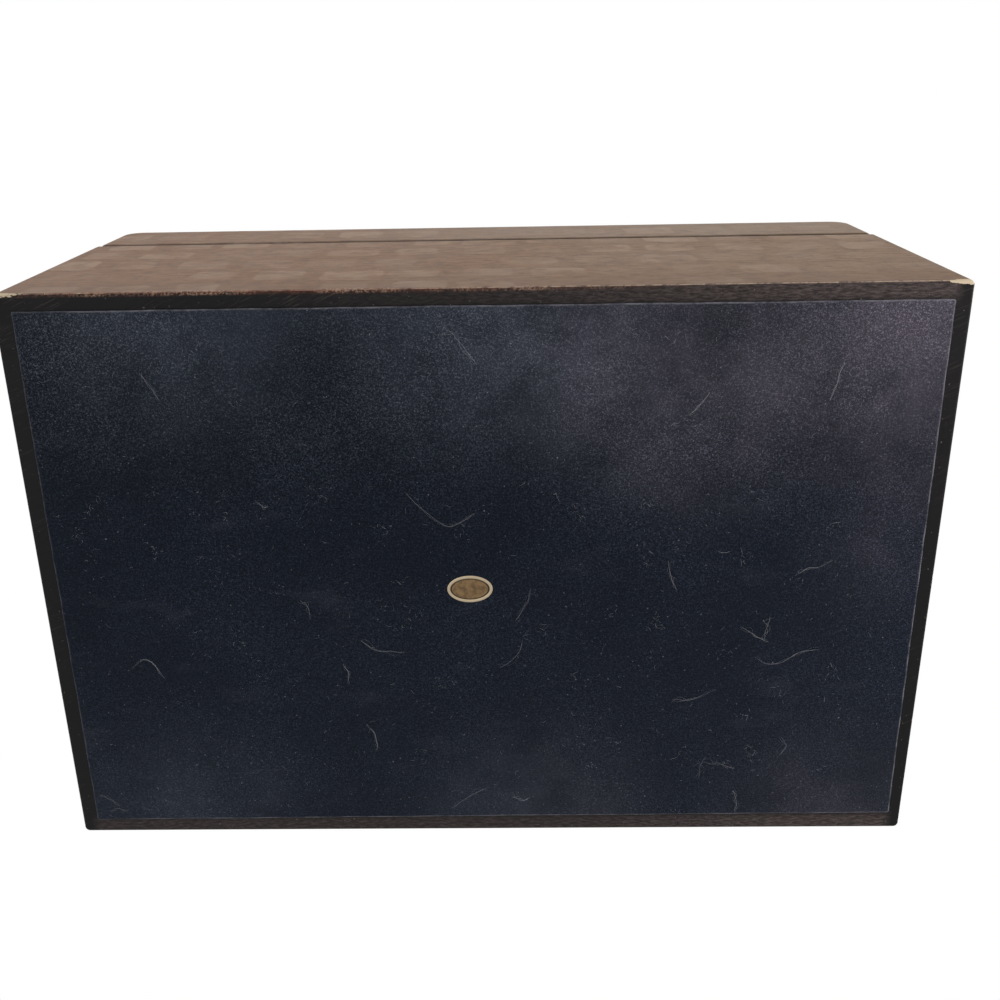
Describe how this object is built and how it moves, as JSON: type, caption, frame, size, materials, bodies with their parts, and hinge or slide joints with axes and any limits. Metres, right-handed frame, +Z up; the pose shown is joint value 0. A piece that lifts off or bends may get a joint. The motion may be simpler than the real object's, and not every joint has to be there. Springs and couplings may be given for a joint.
{
  "type": "jewelry box",
  "caption": "Lacquered jewelry box with side-by-side drawers, a hinged lid with a mirror inside, and a velvet-lined upper compartment.",
  "frame": {"origin": "middle of the flat underside, on the felt", "axes": "+X to the box's right seen from the drawers, +Y to the hinged back, +Z up"},
  "size_m": [0.305, 0.209, 0.14],
  "materials": {
    "lacquer": "satin lacquer",
    "bare_wood": "bare",
    "navy_felt": "felt",
    "velvet": "velvet",
    "gold_foil": "aged foil",
    "brass": "aged",
    "mirror": "polished"
  },
  "bodies": {
    "case": {"base_felt": "navy_felt", "base_label": "gold_foil", "base_panel": "bare_wood", "back_wall": "lacquer", "left_wall": "lacquer", "right_wall": "lacquer", "front_panel": "lacquer", "front_rail": "lacquer", "bay_partition": "lacquer", "shelf_panel": "bare_wood", "drawer_runners": "bare_wood", "drawer_stops": "bare_wood", "well_floor_pad": "velvet", "well_lining": "velvet", "long_divider": "velvet", "front_divider": "velvet", "back_dividers": "velvet", "roll_bed": "velvet", "ring_rolls": "velvet", "lid_bumpers": "navy_felt", "hinge_left_lower": "brass", "hinge_right_lower": "brass", "hinge_left_pin": "brass", "hinge_right_pin": "brass", "hinge_screws_lower": "brass"},
    "lid": {"lid_top_panel": "lacquer", "lid_front_rail": "lacquer", "lid_back_rail": "lacquer", "lid_left_rail": "lacquer", "lid_right_rail": "lacquer", "lid_lining": "velvet", "lid_pad": "velvet", "lid_mirror": "mirror", "mirror_bezel": "brass", "hinge_left_upper": "brass", "hinge_right_upper": "brass", "hinge_screws_upper": "brass"},
    "drawer_left": {"drawer_left_front": "lacquer", "drawer_left_sides": "bare_wood", "drawer_left_back": "bare_wood", "drawer_left_bottom": "bare_wood", "drawer_left_lining": "velvet", "drawer_left_divider": "velvet", "pull_left_plate": "brass", "pull_left_eye": "brass"},
    "pull_left": {"pull_left_ring": "brass"},
    "drawer_right": {"drawer_right_front": "lacquer", "drawer_right_sides": "bare_wood", "drawer_right_back": "bare_wood", "drawer_right_bottom": "bare_wood", "drawer_right_lining": "velvet", "drawer_right_divider": "velvet", "pull_right_plate": "brass", "pull_right_eye": "brass"},
    "pull_right": {"pull_right_ring": "brass"}
  },
  "joints": [
    {"name": "lid_hinge", "type": "hinge", "parent": "case", "child": "lid", "pos_m": [0, 0.1, 0.102], "axis": [-1, 0, 0], "range_deg": [0, 95]},
    {"name": "drawer_left_slide", "type": "slide", "parent": "case", "child": "drawer_left", "axis": [0, -1, 0], "range_m": [0, 0.12]},
    {"name": "pull_left_swing", "type": "hinge", "parent": "drawer_left", "child": "pull_left", "pos_m": [-0.07375, -0.1049, 0.036], "axis": [-1, 0, 0], "range_deg": [0, 175]},
    {"name": "drawer_right_slide", "type": "slide", "parent": "case", "child": "drawer_right", "axis": [0, -1, 0], "range_m": [0, 0.12]},
    {"name": "pull_right_swing", "type": "hinge", "parent": "drawer_right", "child": "pull_right", "pos_m": [0.07375, -0.1049, 0.036], "axis": [-1, 0, 0], "range_deg": [0, 175]}
  ]
}
